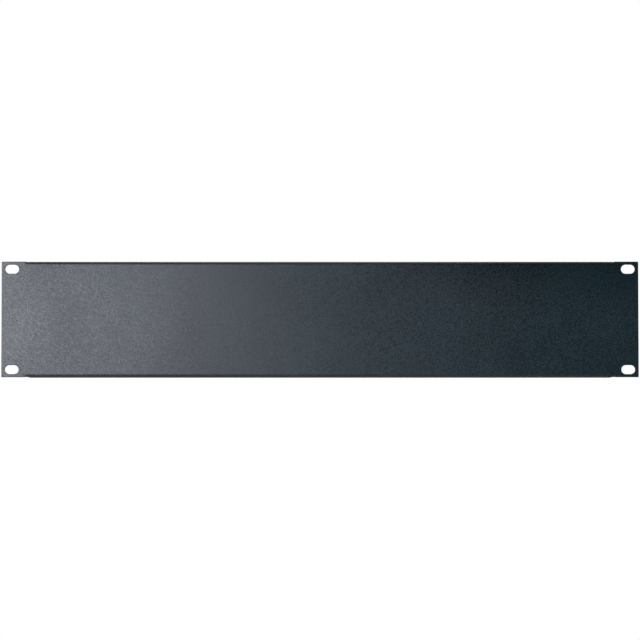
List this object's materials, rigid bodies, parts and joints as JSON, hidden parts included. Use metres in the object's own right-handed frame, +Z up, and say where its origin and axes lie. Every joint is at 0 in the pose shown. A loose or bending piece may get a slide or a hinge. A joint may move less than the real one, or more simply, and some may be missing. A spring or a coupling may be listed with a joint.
{
  "type": "rack blanking panel",
  "caption": "Flanged sheet-steel blanking panel that closes an empty space in a 19-inch equipment rack, with oblong screw slots in its ears.",
  "frame": {"origin": "centre of the four-slot pattern, on the rear face of the sheet, which is the face that seats on the rack's rails", "axes": "+X along the panel, to the right for someone facing its front; +Y backwards into the rack; +Z up. The front faces -Y."},
  "size_m": [0.4826, 0.012, 0.0878],
  "materials": {
    "powder_coat": "satin black powder coat with a fine grain"
  },
  "bodies": {
    "root": {"panel": "powder_coat"}
  },
  "joints": []
}
